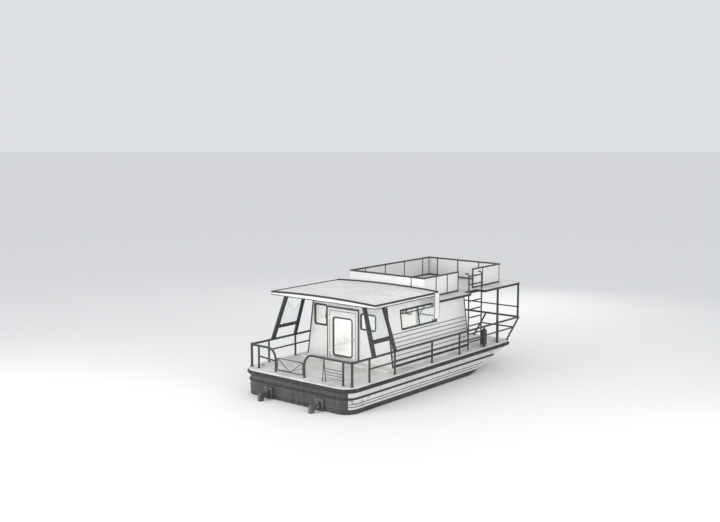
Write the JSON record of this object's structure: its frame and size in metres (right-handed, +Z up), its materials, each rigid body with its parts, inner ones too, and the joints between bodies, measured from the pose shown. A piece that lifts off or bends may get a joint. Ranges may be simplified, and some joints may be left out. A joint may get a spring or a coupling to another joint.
{
  "type": "river houseboat",
  "caption": "Flat-bottomed river house barge: leaning-wall cabin, cambered aft roof on slanted wings, walled sun deck, handrails, side ladder, glazed doors and steerable stern drives.",
  "frame": {"origin": "centre of the overall length and beam, on the flat bottom of the hull", "axes": "+X towards the bow, +Y to port, +Z up"},
  "size_m": [10.45, 4.5, 3.95],
  "materials": {
    "hull_paint": "semi-gloss hull paint, scuffed, dark boot-top at the waterline",
    "deck_paint": "matt non-slip deck paint",
    "black_trim": "black rubbing strake, worn grey on its edge",
    "white_panel": "white glass-fibre panel with faint weathering",
    "black_frame": "black powder-coated frame",
    "glass": "tinted safety glass",
    "alloy": "satin marine aluminium",
    "rail_paint": "black painted steel tube with chips",
    "fender_vinyl": "dark vinyl, scuffed",
    "drive_paint": "dark grey drive enamel",
    "wood": "varnished joinery"
  },
  "bodies": {
    "boat": {"hull": "hull_paint", "main_deck": "deck_paint", "cabin_floor": "deck_paint", "rub_rail": "black_trim", "lower_strake": "black_trim", "starboard_wall": "white_panel", "port_wall": "white_panel", "aft_wall": "white_panel", "fore_wall": "white_panel", "starboard_window_frame": "black_frame", "port_window_frame": "black_frame", "starboard_window_glass": "glass", "port_window_glass": "glass", "aft_starboard_window": "glass", "aft_port_window": "glass", "fore_starboard_window": "glass", "fore_port_window": "glass", "aft_door_casing": "white_panel", "fore_door_track": "alloy", "aft_roof": "white_panel", "sun_deck": "white_panel", "sun_deck_aft_panel": "white_panel", "sun_deck_fore_panel": "white_panel", "sun_deck_port_panel": "white_panel", "sun_deck_starboard_aft_panel": "white_panel", "sun_deck_starboard_fore_panel": "white_panel", "starboard_side_rail": "rail_paint", "port_side_rail": "rail_paint", "starboard_stern_rail": "rail_paint", "port_stern_rail": "rail_paint", "bow_rail": "rail_paint", "bow_posts": "rail_paint", "starboard_deck_post": "rail_paint", "port_deck_post": "rail_paint", "ladder": "rail_paint", "starboard_wing": "black_frame", "port_wing": "black_frame", "starboard_wing_glass": "glass", "port_wing_glass": "glass", "fender": "fender_vinyl", "aft_starboard_cleat": "alloy", "aft_port_cleat": "alloy", "fore_starboard_cleat": "alloy", "fore_port_cleat": "alloy", "starboard_drive_bracket": "drive_paint", "port_drive_bracket": "drive_paint", "helm_console": "wood"},
    "port_gimbal": {"port_drive_gimbal": "drive_paint"},
    "port_leg": {"port_drive_leg": "drive_paint"},
    "port_screw": {"port_propeller": "alloy"},
    "starboard_gimbal": {"starboard_drive_gimbal": "drive_paint"},
    "starboard_leg": {"starboard_drive_leg": "drive_paint"},
    "starboard_screw": {"starboard_propeller": "alloy"},
    "aft_door": {"aft_door": "white_panel", "aft_door_glass": "glass"},
    "fore_door": {"fore_door": "alloy", "fore_door_glass": "glass"},
    "stern_gate": {"stern_gate": "rail_paint"},
    "helm_wheel": {"helm_wheel": "wood"}
  },
  "joints": [
    {"name": "port_steer", "type": "hinge", "parent": "boat", "child": "port_gimbal", "pos_m": [-4.695, 1.05, 0.6], "axis": [0, 0, 1], "range_deg": [-28, 28]},
    {"name": "port_tilt", "type": "hinge", "parent": "port_gimbal", "child": "port_leg", "pos_m": [-4.805, 1.05, 0.6], "axis": [0, 1, 0], "range_deg": [0, 45]},
    {"name": "port_screw_spin", "type": "hinge", "parent": "port_leg", "child": "port_screw", "pos_m": [-5.18, 1.05, 0.215], "axis": [1, 0, 0], "continuous": true},
    {"name": "starboard_steer", "type": "hinge", "parent": "boat", "child": "starboard_gimbal", "pos_m": [-4.695, -1.05, 0.6], "axis": [0, 0, 1], "range_deg": [-28, 28]},
    {"name": "starboard_tilt", "type": "hinge", "parent": "starboard_gimbal", "child": "starboard_leg", "pos_m": [-4.805, -1.05, 0.6], "axis": [0, 1, 0], "range_deg": [0, 45]},
    {"name": "starboard_screw_spin", "type": "hinge", "parent": "starboard_leg", "child": "starboard_screw", "pos_m": [-5.18, -1.05, 0.215], "axis": [1, 0, 0], "continuous": true},
    {"name": "aft_door_hinge", "type": "hinge", "parent": "boat", "child": "aft_door", "pos_m": [-2.023, 0.779, 1.6], "axis": [0, 0, -1], "range_deg": [0, 100]},
    {"name": "fore_door_slide", "type": "slide", "parent": "boat", "child": "fore_door", "axis": [0, 1, 0], "range_m": [0, 0.93]},
    {"name": "stern_gate_hinge", "type": "hinge", "parent": "boat", "child": "stern_gate", "pos_m": [-4.335, 0.955, 1.36], "axis": [0, 0, 1], "range_deg": [0, 90]},
    {"name": "helm_wheel_turn", "type": "hinge", "parent": "boat", "child": "helm_wheel", "pos_m": [1.713, -1.01, 2.08], "axis": [1, 0, 0], "range_deg": [-540, 540]}
  ],
  "couplings": [
    {"joint": "starboard_steer", "follows": "port_steer", "ratio": 1},
    {"joint": "helm_wheel_turn", "follows": "port_steer", "ratio": 19}
  ]
}
